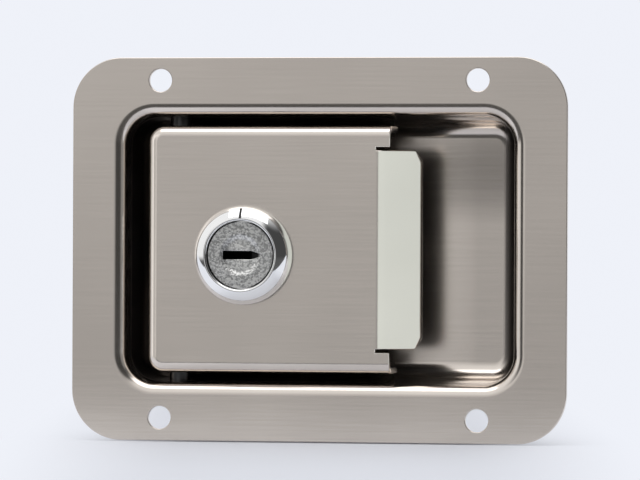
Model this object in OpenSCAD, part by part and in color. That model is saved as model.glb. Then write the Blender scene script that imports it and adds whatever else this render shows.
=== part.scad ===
// Panel lock: a flush latch with a paddle handle and a key lock, pressed from stainless sheet.
// Each piece is drawn face up: x across the panel, y up it, z out of its face, z = 0 on the panel.
// The paddle swings on a pin at its left end, and an arm on it draws the latch bolt in behind the pan.

/* [Flange] */
// Width of the flange
flange_w = 120; // [116:0.5:132]
// Height of the flange's rim above and below the mouth
rim_h = 11; // [9:0.5:16]
// Corner radius of the flange
flange_r = 12; // [6:0.5:20]
// Thickness of the pan's sheet
sheet_t = 1.5; // [1.2:0.1:2]
// Diameter of the panel screw holes
screw_hole_d = 5.5; // [4.2:0.1:6.4]
// Spacing of the screw holes across the panel
screw_span_x = 77; // [60:0.5:90]

/* [Pan] */
// Width of the pan's mouth where the flange starts to bend
mouth_w = 100; // [98:0.5:104]
// Corner radius of the mouth
mouth_r = 10; // [9:0.5:14]
// Radius of the bend at the mouth
lip_r = 3; // [2.2:0.1:4]
// Inside radius between the wall and the floor
heel_r = 4.2; // [3:0.1:4.8]
// Draft of the pan's walls in degrees
wall_draft = 4; // [2:0.5:5]
// Room between the cam screw and the pan's floor
floor_room = 1.9; // [1:0.1:4]

/* [Paddle] */
// Distance from the mouth's left edge to the paddle
paddle_inset = 8.2; // [6.5:0.1:9]
// Length of the paddle from its left edge to its ears
paddle_len = 59.2; // [55:0.1:66]
// Height of the paddle
paddle_h = 59.4; // [56:0.1:66]
// Distance from the paddle to the mouth's upper and lower edges
paddle_room = 5.3; // [4.6:0.1:8]
// Thickness of the paddle's sheet
paddle_t = 1.5; // [1.2:0.1:2]
// Outside radius along the paddle's edges
paddle_edge_r = 2.6; // [2.2:0.1:3.4]
// Corner radius of the paddle
paddle_corner_r = 4; // [3.6:0.1:6]
// Depth of the paddle's turned edges from its face
skirt_h = 11.5; // [10:0.5:13]
// Width of the finger tab
tab_w = 47.5; // [40:0.5:50]
// Length of the finger tab past its bend
tab_len = 10.5; // [8:0.1:12]
// Radius of the finger tab's lip
tab_lip_r = 1.4; // [0.8:0.1:1.4]
// Fall of the finger tab in degrees
tab_angle = 35; // [20:1:45]
// Outside radius of the bend at the finger tab
tab_bend_r = 3.8; // [3:0.1:5]
// Chamfer on the finger tab's corners
tab_chamfer = 2.4; // [1:0.1:4]
// Length of the flat ears beside the finger tab
ear_len = 3.4; // [1.5:0.1:4]
// Width of the slits between the finger tab and the ears
slit_w = 0.8; // [0.5:0.1:1.5]

/* [Hinge] */
// Diameter of the hinge pin
pin_d = 5; // [4:0.1:5.6]
// Distance from the paddle's left edge to the pin
pivot_inset = 6.8; // [6.4:0.05:7.4]
// Depth of the pin below the paddle's face
pivot_drop = 8; // [7.4:0.1:8.4]
// Opening of the paddle in degrees
paddle_open = 32; // [24:1:34]
// Diameter of the pin's head
pin_head_d = 8.4; // [7:0.1:9]
// Thickness of the pin's head
pin_head_t = 1.3; // [1:0.1:1.5]
// Diameter of the groove for the retaining clip
groove_d = 3.8; // [3:0.1:3.9]
// Outside diameter of the retaining clip
clip_d = 9; // [8:0.1:10]
// Thickness of the retaining clip
clip_t = 0.6; // [0.5:0.1:0.8]
// Length of the pin past the retaining clip
pin_end = 0.6; // [0.4:0.1:0.7]

/* [Paddle springs] */
// Wire of the paddle springs
torsion_wire = 1.1; // [0.8:0.1:1.2]
// Full turns of each paddle spring
torsion_turns = 4; // [3:1:6]
// Pitch of the paddle springs' turns
torsion_pitch = 1.25; // [1.22:0.01:1.6]

/* [Drive bracket] */
// Thickness of the drive bracket's sheet
bracket_t = 2.2; // [1.8:0.1:2.6]
// Width over the drive bracket's two arms
bracket_w = 10; // [8:0.5:10.5]
// Width of each arm
arm_w = 6; // [5:0.1:7]
// Diameter of each arm's boss round the pin
boss_d = 8.4; // [7.6:0.1:8.8]

/* [Latch bolt] */
// Width of the latch bolt
bolt_w = 22; // [18:0.5:24]
// Height of the latch bolt
bolt_h = 8; // [7.6:0.1:9]
// Distance of the bolt's tip inside the flange's edge
bolt_setback = 2; // [0.5:0.5:4]
// Blunt part of the bolt's bevelled nose
nose_flat = 2; // [1:0.1:3]
// Chamfer along the bolt's lower edges
bolt_chamfer = 1; // [0.8:0.1:1.6]
// Length of the bolt behind the arm's slot
tail_len = 16; // [15.5:0.5:20]

/* [Bolt housing] */
// Thickness of the housing's sheet
housing_t = 1.5; // [1.2:0.1:2]
// Inside radius of the housing's bends
housing_bend_r = 1; // [0.6:0.1:1.4]
// Width of the housing's feet
foot_w = 7.4; // [7.2:0.1:9]
// Distance of the housing's mouth from the edge of the pan's floor
housing_inset = 0.7; // [0:0.1:3]

/* [Bolt spring] */
// Wire of the bolt spring
spring_wire = 1; // [0.7:0.1:1.1]
// Outside diameter of the bolt spring
spring_d = 7.6; // [7:0.1:7.8]
// Length of the bolt spring at rest
spring_len = 24; // [21:0.5:30]
// Full turns of the bolt spring
spring_turns = 9; // [7:1:11]
// Diameter of the guide rod
rod_d = 4; // [3:0.1:4.2]
// Length of the guide rod inside the bolt at rest
rod_grip = 2.5; // [1:0.1:4]
// Diameter of the guide rod's head
rod_head_d = 6.6; // [5.5:0.1:7.4]
// Thickness of the guide rod's head
rod_head_t = 1.4; // [1:0.1:2]

/* [Lock] */
// Distance from the paddle's left edge to the lock's axis
lock_inset = 23.8; // [22.5:0.05:28]
// Distance of the lock's axis below the paddle's middle
lock_drop = 1.4; // [0:0.1:2]
// Diameter of the bezel where it meets the paddle
bezel_d = 23.8; // [22:0.1:27]
// Height of the bezel above the paddle
bezel_h = 5; // [4:0.1:7]
// Straight foot of the bezel below its dome
bezel_foot = 0.7; // [0.4:0.1:1.5]
// Radius of the bezel's rim
rim_r = 0.9; // [0.6:0.1:1.2]
// Diameter of the threaded barrel
barrel_d = 18.6; // [17.8:0.1:19]
// Width over the barrel's flats
barrel_flats = 16; // [15:0.1:16.8]
// Length of the barrel below the paddle's face
barrel_len = 11; // [10.5:0.1:14]
// Diameter of the plug's face
plug_face_d = 16; // [15.5:0.1:17]
// Thickness of the plug's face
plug_face_t = 3; // [2:0.1:3.4]
// Depth of the plug's face below the bezel's rim
plug_sink = 0.6; // [0.3:0.1:1]
// Diameter of the plug's body
plug_d = 12.6; // [12.4:0.1:13.4]
// Width of the keyway
keyway_w = 6.8; // [6:0.1:7.4]
// Shift of the keyway to the left of the lock's axis
keyway_shift = 0.9; // [0:0.1:1]
// Length of the ramp that leads into the keyway
ramp_len = 2.6; // [1:0.1:3]
// Depth of that ramp at the keyway
ramp_h = 1.2; // [0.6:0.1:1.6]
// Height of the keyway
keyway_t = 2; // [1.4:0.1:2.2]
// Diameter of the dish round the keyway
dish_d = 10; // [9:0.1:12]
// Depth of the dish round the keyway
dish_h = 0.5; // [0.2:0.1:0.8]
// Size of the square on the plug's tail
tail_sq = 7; // [6:0.1:7.6]
// Width over the flats of the lock nut
nut_af = 22; // [21:0.1:22.6]
// Thickness of the lock nut
nut_t = 4; // [3:0.1:4.5]

/* [Wafers] */
// Thickness of each wafer
wafer_t = 1; // [0.8:0.1:1.2]
// Pitch of the wafers along the plug
wafer_pitch = 1.9; // [1.7:0.05:2]
// Length of each wafer across the plug
wafer_w = 10.6; // [10:0.1:10.7]
// Height of each wafer
wafer_h = 5.4; // [5:0.1:5.5]
// Depth from the plug's shoulder to the first wafer
wafer_start = 1; // [0.6:0.1:1.4]

/* [Cam] */
// Diameter of the stop washer
stop_d = 16.4; // [15.8:0.1:17]
// Thickness of the stop washer
stop_t = 1; // [0.8:0.1:1.4]
// Thickness of the cam
cam_t = 2; // [1.5:0.1:3]
// Reach of the cam from the lock's axis
cam_len = 17; // [15:0.5:18]
// Width of the cam
cam_w = 10; // [8:0.5:12]
// Diameter of the cam's round root
cam_root_d = 15; // [13:0.5:16]
// Corner radius at the cam's end
cam_end_r = 2; // [1:0.1:3]
// Turn of the key in degrees
key_turn = 90; // [60:5:95]
// Diameter of the washer under the cam screw
cam_washer_d = 9; // [8:0.1:10]
// Thickness of that washer
cam_washer_t = 0.8; // [0.5:0.1:1.2]
// Diameter of the cam screw
cam_screw_d = 4; // [3:0.1:4.2]
// Diameter of the cam screw's head
cam_screw_head_d = 7.6; // [6.5:0.1:8]
// Height of the cam screw's head
cam_screw_head_t = 2.2; // [1.6:0.1:3]
// Length of the cam screw in the plug
cam_screw_len = 4; // [3:0.1:4.4]

/* [Cam keeper] */
// Thickness of the keeper's sheet
keeper_t = 1.5; // [1.2:0.1:1.6]
// Width of the keeper
keeper_w = 16; // [13:0.5:20]
// Reach of the keeper over the cam
keeper_reach = 8; // [5:0.5:8]
// Room between the cam's end and the keeper
keeper_room = 2.4; // [1.6:0.1:2.6]
// Length of the keeper's foot
keeper_foot = 8.4; // [8.2:0.1:8.8]
// Inside radius of the keeper's bends
keeper_bend_r = 0.8; // [0.5:0.1:1]

/* [Rivets] */
// Diameter of the rivets
rivet_d = 4; // [3:0.1:4.2]
// Diameter of the rivets' heads
rivet_head_d = 6; // [5:0.1:6.4]
// Height of the rivets' heads
rivet_head_h = 1.3; // [0.8:0.1:1.5]
// Distance of the housing's rivets from its ends
rivet_end = 5; // [3.5:0.5:8]
// Spacing of the keeper's rivets
keeper_rivet_span = 9; // [7.5:0.5:12]

/* [Clearances] */
// Radial clearance of the pin, plug and guide in their holes
run_gap = 0.08; // [0.05:0.01:0.1]
// Clearance of the bolt in its housing and of the arms in their slots
slide_gap = 0.2; // [0.1:0.05:0.3]
// Clearance beside the arms in their slots
arm_side_gap = 0.6; // [0.3:0.1:0.8]
// Clearance between faces that turn on each other
turn_gap = 0.1; // [0.05:0.01:0.2]
// Clearance between the cam and its keeper
cam_gap = 0.3; // [0.2:0.05:0.5]
// Clearance of screws, rivets and squares in their holes
fit_gap = 0.05; // [0.02:0.01:0.1]

/* [Hidden] */
$fn = 64;
wire_sides = 8;
coil_steps = 18;
through = 100;
wafer_count = 5;

// Levels of the lock's stack, from the paddle's face down to the pan's floor
front_z = sheet_t;
under_z = front_z - paddle_t;
barrel_z = front_z - barrel_len;
stop_z = barrel_z - turn_gap - stop_t;
cam_z = stop_z - cam_t;
cam_washer_z = cam_z - cam_washer_t;
cam_head_z = cam_washer_z - cam_screw_head_t;
floor_z = cam_head_z - floor_room;
floor_back_z = floor_z - sheet_t;

// Flange and mouth, round the paddle and the room beside it
mouth_h = paddle_h + 2 * paddle_room;
flange_h = mouth_h + 2 * rim_h;
screw_span_y = mouth_h + rim_h;

// Section of the pan's wall, measured out from the axis of a corner
lip_z = front_z - lip_r;
heel_z = floor_z + heel_r;
wall_in = [-cos(wall_draft), sin(wall_draft)];
lip_end = [mouth_r, lip_z] + lip_r * wall_in;
wall_run = (lip_end.y + heel_r * wall_in.y - heel_z) / cos(wall_draft);
heel_u = lip_end.x - wall_run * sin(wall_draft) + heel_r * wall_in.x;
floor_w = mouth_w - 2 * (mouth_r - heel_u);
floor_h = mouth_h - 2 * (mouth_r - heel_u);

// Paddle and hinge places
paddle_x = paddle_inset - mouth_w / 2;
bend_x = paddle_x + paddle_len - ear_len;
skirt_z = front_z - skirt_h;
pivot_x = paddle_x + pivot_inset;
pivot_z = front_z - pivot_drop;
pin_bore = pin_d + 2 * run_gap;
head_top_z = pivot_z + max(pin_head_d, clip_d) / 2;
lip_back = mouth_h / 2 + lip_end.x - mouth_r + sheet_t / cos(wall_draft);
pin_seat_y = lip_back - (lip_end.y - head_top_z) * tan(wall_draft) + turn_gap;

// Latch bolt, arms and housing places
bolt_top_z = floor_back_z - slide_gap;
bolt_mid_z = bolt_top_z - bolt_h / 2;
bolt_low_z = bolt_top_z - bolt_h;
arm_slot_w = bracket_w + 2 * arm_side_gap;
arm_edge = arm_w / 2 + slide_gap;
arm_reach = pivot_z - bolt_mid_z;
bolt_travel = arm_reach * paddle_open * PI / 180 + slide_gap;
bolt_tip_x = bolt_setback - flange_w / 2;
drive_x = pivot_x + arm_edge;
bolt_slot_x = pivot_x - arm_edge - bolt_travel;
bolt_tail_x = drive_x + tail_len;
floor_slot_x = pivot_x - arm_edge;
arm_swing = (pivot_z - floor_back_z) * tan(paddle_open) + arm_w / 2 / cos(paddle_open);
floor_slot_len = arm_edge + arm_swing + slide_gap;
housing_half = bolt_w / 2 + slide_gap;
housing_z = bolt_low_z - slide_gap;
housing_x = housing_inset - floor_w / 2;
housing_end_x = bolt_tail_x + spring_len;
housing_len = housing_end_x - housing_x;
housing_foot_z = floor_back_z - housing_t;
foot_mid_y = housing_half + housing_t + (foot_w + housing_bend_r) / 2;
rod_tip_x = bolt_tail_x - rod_grip;
rod_bore_len = rod_grip + bolt_travel + 3 * slide_gap;

// Lock places
lock_x = paddle_x + lock_inset;
lock_y = -lock_drop;
bezel_z = front_z + bezel_h;
counterbore_r = plug_face_d / 2 + slide_gap;
plug_face_z = bezel_z - plug_sink;
shoulder_z = plug_face_z - plug_face_t;
plug_end_z = barrel_z - turn_gap;
tail_z = cam_z + turn_gap;
screw_top_z = cam_washer_z + cam_screw_len;
key_wall = 1;
keyway_z = screw_top_z + key_wall;
rim_mid = [counterbore_r + rim_r, bezel_z - rim_r];
dome_foot = [rim_mid.x, front_z + bezel_foot];
dome = [bezel_d / 2 - rim_mid.x, bezel_h - bezel_foot];
keyway_x = lock_x - keyway_shift - keyway_w / 2;
lug_depth = 1.2;
lug_in = stop_d / 2 - lug_depth;
lug_half_turn = 10;
lug_room = 3;

// Keeper places
keeper_z = stop_z + cam_gap;
keeper_y = lock_y + cam_len + keeper_room;
keeper_rivet_y = keeper_y + (keeper_foot + keeper_t + keeper_bend_r) / 2;

// A flat ring from one angle to another, less than half a turn apart
module ring_sector(r_in, r_out, from, to) {
    reach = 2 * r_out;
    middle = (from + to) / 2;
    intersection() {
        difference() {
            circle(r_out);
            circle(r_in);
        }
        polygon([
            [0, 0],
            reach * [cos(from), sin(from)],
            reach * [cos(middle), sin(middle)],
            reach * [cos(to), sin(to)]
        ]);
    }
}

// A flat rectangle with round corners
module rounded_rect(w, h, r) {
    square([w - 2 * r, h], center = true);
    square([w, h - 2 * r], center = true);
    for (sx = [-1, 1], sy = [-1, 1])
        translate([sx * (w / 2 - r), sy * (h / 2 - r)]) circle(r);
}

// A section carried round a rectangle of corner axes
module carried_round(half_x, half_y) {
    for (side = [0:3]) {
        along = side % 2 == 0 ? half_y : half_x;
        out = side % 2 == 0 ? half_x : half_y;
        rotate([0, 0, 90 * side]) translate([out, along, 0]) {
            rotate_extrude(angle = 90) children();
            rotate([90, 0, 0]) linear_extrude(2 * along) children();
        }
    }
}

// A section in x and z, extruded across y about its middle
module across(width) {
    rotate([90, 0, 0]) linear_extrude(width, center = true) children();
}

// A section in y and z, extruded along x from 0
module lengthwise(length) {
    rotate([90, 0, 90]) linear_extrude(length) children();
}

// A round bar along y, from one place to another
module bar_y(d, from, to) {
    translate([0, from, 0]) rotate([-90, 0, 0]) cylinder(d = d, h = to - from);
}

// A round bar along x, from one place to another
module bar_x(d, from, to) {
    translate([from, 0, 0]) rotate([0, 90, 0]) cylinder(d = d, h = to - from);
}

// One ring of a wire round a coil: its middle, its direction out from the coil, and the coil's axis
function wire_ring(middle, out, axis, r) =
    [for (k = [0:wire_sides - 1]) let (a = 360 * k / wire_sides) middle + r * (cos(a) * out + sin(a) * axis)];

// A round wire through a list of rings
module wire(rings) {
    last = len(rings) - 1;
    sides = [for (i = [0:last - 1], k = [0:wire_sides - 1]) let (n = (k + 1) % wire_sides)
        [i * wire_sides + k, (i + 1) * wire_sides + k, (i + 1) * wire_sides + n, i * wire_sides + n]];
    start = [[for (k = [0:wire_sides - 1]) k]];
    end = [[for (k = [wire_sides - 1:-1:0]) last * wire_sides + k]];
    polyhedron([for (ring = rings, p = ring) p], concat(sides, start, end));
}

// Places of the rivets that hold the housing and the keeper to the pan's floor
module at_housing_rivets() {
    for (x = [housing_x + rivet_end, housing_end_x - rivet_end], side = [-1, 1])
        translate([x, side * foot_mid_y, 0]) children();
}

module at_keeper_rivets() {
    for (side = [-1, 1])
        translate([lock_x + side * keeper_rivet_span / 2, keeper_rivet_y, 0]) children();
}

// A rivet with a domed head on top and a flat closing head below
module rivet(top_z, low_z) {
    dome_r = (pow(rivet_head_d / 2, 2) + pow(rivet_head_h, 2)) / (2 * rivet_head_h);
    intersection() {
        translate([0, 0, top_z + rivet_head_h - dome_r]) sphere(dome_r);
        translate([0, 0, top_z]) cylinder(d = rivet_head_d, h = rivet_head_h);
    }
    translate([0, 0, low_z]) cylinder(d = rivet_d, h = top_z - low_z);
    translate([0, 0, low_z - rivet_head_h]) cylinder(d = rivet_head_d, h = rivet_head_h);
}

// The pressed pan: flange, drafted walls with rounded bends, and a floor
module pan_wall() {
    translate([mouth_r, lip_z]) ring_sector(lip_r - sheet_t, lip_r, 90, 180 - wall_draft);
    polygon([
        lip_end,
        lip_end - sheet_t * wall_in,
        [heel_u, heel_z] - (heel_r + sheet_t) * wall_in,
        [heel_u, heel_z] - heel_r * wall_in
    ]);
    translate([heel_u, heel_z]) ring_sector(heel_r, heel_r + sheet_t, -90, -wall_draft);
}

module pan() {
    color("silver") difference() {
        union() {
            linear_extrude(sheet_t) difference() {
                rounded_rect(flange_w, flange_h, flange_r);
                rounded_rect(mouth_w, mouth_h, mouth_r);
            }
            carried_round(mouth_w / 2 - mouth_r, mouth_h / 2 - mouth_r) pan_wall();
            translate([0, 0, floor_back_z]) linear_extrude(sheet_t) rounded_rect(floor_w, floor_h, heel_u);
        }
        for (sx = [-1, 1], sy = [-1, 1])
            translate([sx * screw_span_x / 2, sy * screw_span_y / 2, -sheet_t])
                cylinder(d = screw_hole_d, h = 3 * sheet_t);
        translate([pivot_x, 0, pivot_z]) bar_y(pin_d + 2 * fit_gap, -mouth_h, mouth_h);
        translate([floor_slot_x, -arm_slot_w / 2, floor_back_z - sheet_t])
            cube([floor_slot_len, arm_slot_w, 3 * sheet_t]);
        translate([0, 0, floor_back_z - sheet_t]) {
            at_housing_rivets() cylinder(d = rivet_d + 2 * fit_gap, h = 3 * sheet_t);
            at_keeper_rivets() cylinder(d = rivet_d + 2 * fit_gap, h = 3 * sheet_t);
        }
    }
}

// The paddle: a flat face with three turned edges, and a finger tab bent down at its free end
module paddle_edge() {
    bend_u = paddle_corner_r - paddle_edge_r;
    translate([bend_u, front_z - paddle_edge_r]) ring_sector(paddle_edge_r - paddle_t, paddle_edge_r, 0, 90);
    translate([paddle_corner_r - paddle_t, skirt_z]) square([paddle_t, skirt_h - paddle_edge_r]);
}

module paddle_shell() {
    half = paddle_h / 2 - paddle_corner_r;
    corner_x = paddle_x + paddle_corner_r;
    flat_r = paddle_corner_r - paddle_edge_r;
    edge_len = paddle_len - paddle_corner_r;
    for (turn = [90, 180])
        translate([corner_x, turn == 90 ? half : -half, 0]) rotate([0, 0, turn])
            rotate_extrude(angle = 90) paddle_edge();
    translate([corner_x, 0, 0]) mirror([1, 0, 0]) across(2 * half) paddle_edge();
    for (side = [0, 1])
        mirror([0, side, 0]) translate([corner_x, half, 0]) lengthwise(edge_len) paddle_edge();
    translate([0, 0, under_z]) linear_extrude(paddle_t) {
        translate([corner_x, -half]) square([edge_len, 2 * half]);
        translate([corner_x, 0]) square([2 * flat_r, 2 * half], center = true);
        for (side = [-1, 1]) {
            translate([corner_x, side * half]) circle(flat_r);
            translate([corner_x + edge_len / 2, side * half]) square([edge_len, 2 * flat_r], center = true);
        }
    }
}

module finger_tab() {
    down = [sin(tab_angle), cos(tab_angle)];
    along = [cos(tab_angle), -sin(tab_angle)];
    inside = (tab_bend_r - paddle_t) * down;
    outside = tab_bend_r * down;
    rooted = (inside + outside) / 2 - along * paddle_t / 4;
    lip_mid = (tab_bend_r - tab_lip_r) * down + (tab_len - tab_lip_r) * along;
    lip = [for (a = [0:15:90]) lip_mid + tab_lip_r * (cos(a) * down + sin(a) * along)];
    translate([bend_x, 0, front_z - tab_bend_r]) difference() {
        across(tab_w) {
            ring_sector(tab_bend_r - paddle_t, tab_bend_r, 90 - tab_angle, 90);
            polygon(concat([rooted, outside], lip, [inside + tab_len * along, inside]));
        }
        for (side = [-1, 1])
            rotate([0, tab_angle, 0]) translate([tab_len, side * tab_w / 2, 0]) rotate([0, 0, 45])
                cube([sqrt(2) * tab_chamfer, sqrt(2) * tab_chamfer, 4 * tab_bend_r], center = true);
    }
}

module paddle() {
    slot_h = tab_w + 2 * slit_w;
    color("silver") union() {
        difference() {
            paddle_shell();
            translate([bend_x, -slot_h / 2, under_z - paddle_t]) cube([2 * ear_len, slot_h, 3 * paddle_t]);
            translate([pivot_x, 0, pivot_z]) bar_y(pin_bore, -paddle_h, paddle_h);
            translate([lock_x, lock_y, under_z - paddle_t]) linear_extrude(3 * paddle_t) intersection() {
                circle(barrel_d / 2 + fit_gap);
                square([barrel_d * 2, barrel_flats + 2 * fit_gap], center = true);
            }
        }
        finger_tab();
    }
}

// The drive bracket: a folded strap welded under the paddle, with two arms down past the pin
module drive_bracket() {
    web_x = paddle_x + paddle_edge_r + fit_gap;
    web_len = pivot_x + boss_d / 2 - web_x;
    color("lightgray") difference() {
        union() {
            translate([web_x, -bracket_w / 2, under_z - bracket_t]) cube([web_len, bracket_w, bracket_t]);
            for (side = [-1, 1]) translate([0, side * (bracket_w - bracket_t) / 2, 0]) across(bracket_t) {
                translate([web_x, pivot_z]) square([web_len, under_z - pivot_z]);
                translate([pivot_x, pivot_z]) circle(boss_d / 2);
                translate([pivot_x - arm_w / 2, bolt_mid_z]) square([arm_w, arm_reach]);
                translate([pivot_x, bolt_mid_z]) circle(arm_w / 2);
            }
        }
        translate([pivot_x, 0, pivot_z]) bar_y(pin_bore, -bracket_w, bracket_w);
    }
}

// The hinge pin: a headed pin through the pan, the paddle and the drive bracket
module hinge_pin() {
    low_y = -pin_seat_y - clip_t - pin_end;
    color("gainsboro") translate([pivot_x, 0, pivot_z]) difference() {
        union() {
            bar_y(pin_d, low_y, pin_seat_y + pin_head_t);
            bar_y(pin_head_d, pin_seat_y, pin_seat_y + pin_head_t);
        }
        difference() {
            bar_y(2 * pin_d, -pin_seat_y - clip_t, -pin_seat_y);
            bar_y(groove_d, low_y, 0);
        }
    }
}

// The retaining clip: an open ring snapped into the pin's groove
module pin_clip() {
    color("dimgray") translate([pivot_x, -pin_seat_y, pivot_z]) rotate([90, 0, 0]) linear_extrude(clip_t)
        difference() {
            circle(clip_d / 2);
            circle(groove_d / 2 + fit_gap);
            translate([0, -groove_d / 2]) square([clip_d, groove_d]);
        }
}

// A paddle spring: a coil on the pin, one leg on the floor and one under the paddle's left end
module paddle_spring() {
    r = torsion_wire / 2;
    coil_r = pin_d / 2 + r + 4 * turn_gap;
    start_y = arm_slot_w / 2 + r + turn_gap;
    lift = 60;
    turned = 360 * torsion_turns + lift;
    steps = round(turned / 360 * coil_steps);
    axis = [0, 1, 0];
    out_end = [cos(lift), 0, sin(lift)];
    end_y = start_y + torsion_pitch * turned / 360;
    coil_end = [pivot_x, end_y, pivot_z] + coil_r * out_end;
    leg = (under_z - r - turn_gap - coil_end.z) / cos(lift);
    foot = [pivot_x + coil_r, start_y, floor_z + r + turn_gap];
    color("dimgray") wire(concat(
        [wire_ring(foot, [1, 0, 0], axis, r)],
        [for (i = [0:steps]) let (a = turned * i / steps, out = [cos(a), 0, sin(a)])
            wire_ring([pivot_x, start_y + torsion_pitch * a / 360, pivot_z] + coil_r * out, out, axis, r)],
        [wire_ring(coil_end + leg * [-sin(lift), 0, cos(lift)], out_end, axis, r)]
    ));
}

module paddle_spring_upper() {
    paddle_spring();
}

module paddle_spring_lower() {
    mirror([0, 1, 0]) paddle_spring();
}

// The bolt housing: a folded channel with two feet and an end wall, riveted behind the pan's floor
module housing_section() {
    for (side = [0, 1]) mirror([side, 0]) {
        translate([0, housing_z - housing_t]) square([housing_half - housing_bend_r, housing_t]);
        translate([housing_half - housing_bend_r, housing_z + housing_bend_r])
            ring_sector(housing_bend_r, housing_bend_r + housing_t, -90, 0);
        translate([housing_half, housing_z + housing_bend_r])
            square([housing_t, housing_foot_z - housing_z - 2 * housing_bend_r]);
        translate([housing_half + housing_t + housing_bend_r, housing_foot_z - housing_bend_r])
            ring_sector(housing_bend_r, housing_bend_r + housing_t, 90, 180);
        translate([housing_half + housing_t + housing_bend_r, housing_foot_z])
            square([foot_w - housing_bend_r, housing_t]);
    }
}

module bolt_housing() {
    wall_w = 2 * (housing_half - housing_bend_r);
    wall_h = floor_back_z - slide_gap - housing_z + housing_t;
    color("silver") difference() {
        union() {
            translate([housing_x, 0, 0]) lengthwise(housing_len) housing_section();
            translate([housing_end_x, -wall_w / 2, housing_z - housing_t]) cube([housing_t, wall_w, wall_h]);
        }
        at_housing_rivets() translate([0, 0, housing_foot_z - housing_t])
            cylinder(d = rivet_d + 2 * fit_gap, h = 3 * housing_t);
        translate([0, 0, bolt_mid_z])
            bar_x(rod_d + 2 * fit_gap, housing_end_x - housing_t, housing_end_x + 2 * housing_t);
    }
}

// The latch bolt: a bar with a bevelled nose, a slot for the arms and a bore for the guide rod
module latch_bolt() {
    bevel = bolt_h - nose_flat;
    slot_len = drive_x - bolt_slot_x;
    half = bolt_w / 2;
    color("darkgray") difference() {
        intersection() {
            across(bolt_w) polygon([
                [bolt_tip_x, bolt_top_z],
                [bolt_tip_x, bolt_top_z - nose_flat],
                [bolt_tip_x + bevel, bolt_low_z],
                [bolt_tail_x, bolt_low_z],
                [bolt_tail_x, bolt_top_z]
            ]);
            translate([bolt_tip_x, 0, 0]) lengthwise(bolt_tail_x - bolt_tip_x) polygon([
                [-half, bolt_top_z],
                [-half, bolt_low_z + bolt_chamfer],
                [bolt_chamfer - half, bolt_low_z],
                [half - bolt_chamfer, bolt_low_z],
                [half, bolt_low_z + bolt_chamfer],
                [half, bolt_top_z]
            ]);
        }
        translate([bolt_slot_x, -arm_slot_w / 2, bolt_low_z - bolt_h])
            cube([slot_len, arm_slot_w, 3 * bolt_h]);
        translate([0, 0, bolt_mid_z])
            bar_x(rod_d + 2 * slide_gap, bolt_tail_x - rod_bore_len, bolt_tail_x + rod_grip);
    }
}

// The bolt spring: a compression coil with closed ends round the guide rod
module bolt_spring() {
    r = spring_wire / 2;
    coil_r = spring_d / 2 - r;
    steps = spring_turns * coil_steps;
    closed = spring_wire + turn_gap;
    first_x = bolt_tail_x + r + turn_gap;
    open_turns = spring_turns - 2;
    open_pitch = (spring_len - 2 * (r + turn_gap) - 2 * closed) / open_turns;
    function coil_x(turn) = closed * min(turn, 1)
        + open_pitch * min(max(turn - 1, 0), open_turns)
        + closed * max(turn - 1 - open_turns, 0);
    color("dimgray") wire([for (i = [0:steps]) let (
        turn = i / coil_steps,
        out = [0, cos(360 * turn), -sin(360 * turn)]
    ) wire_ring([first_x + coil_x(turn), 0, bolt_mid_z] + coil_r * out, out, [1, 0, 0], r)]);
}

// The spring guide: a headed rod fixed in the housing's end wall
module spring_guide() {
    head_x = housing_end_x + housing_t;
    color("gainsboro") translate([0, 0, bolt_mid_z]) {
        bar_x(rod_d, rod_tip_x, head_x);
        bar_x(rod_head_d, head_x, head_x + rod_head_t);
    }
}

module housing_rivets() {
    color("gainsboro") at_housing_rivets() rivet(floor_z, housing_foot_z);
}

// The lock body: a domed bezel and a flatted barrel, with a stop lug on the barrel's end
module lock_body() {
    bulge = [for (a = [0:9:90]) dome_foot + [dome.x * cos(a), dome.y * sin(a)]];
    color("white") translate([lock_x, lock_y, 0]) {
        rotate_extrude() {
            translate(rim_mid) circle(rim_r);
            polygon(concat(
                [[counterbore_r, front_z], [bezel_d / 2, front_z]],
                bulge,
                [rim_mid, [counterbore_r, rim_mid.y]]
            ));
        }
        difference() {
            translate([0, 0, front_z])
                cylinder(r = counterbore_r + rim_r, h = shoulder_z - turn_gap - front_z);
            cylinder(d = plug_d + 2 * run_gap, h = through, center = true);
        }
        difference() {
            intersection() {
                translate([0, 0, barrel_z]) cylinder(d = barrel_d, h = barrel_len);
                cube([through, barrel_flats, through], center = true);
            }
            cylinder(d = plug_d + 2 * run_gap, h = through, center = true);
        }
        translate([0, 0, stop_z + turn_gap]) linear_extrude(stop_t)
            ring_sector(lug_in + slide_gap, barrel_d / 2, 180 - lug_half_turn, 180 + lug_half_turn);
    }
}

// The lock plug: a round face with the keyway and its ramp, a body with wafer slots, and a square tail
module at_wafer(number) {
    translate([lock_x, lock_y, shoulder_z - wafer_start - wafer_t - (number - 1) * wafer_pitch]) children();
}

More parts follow.
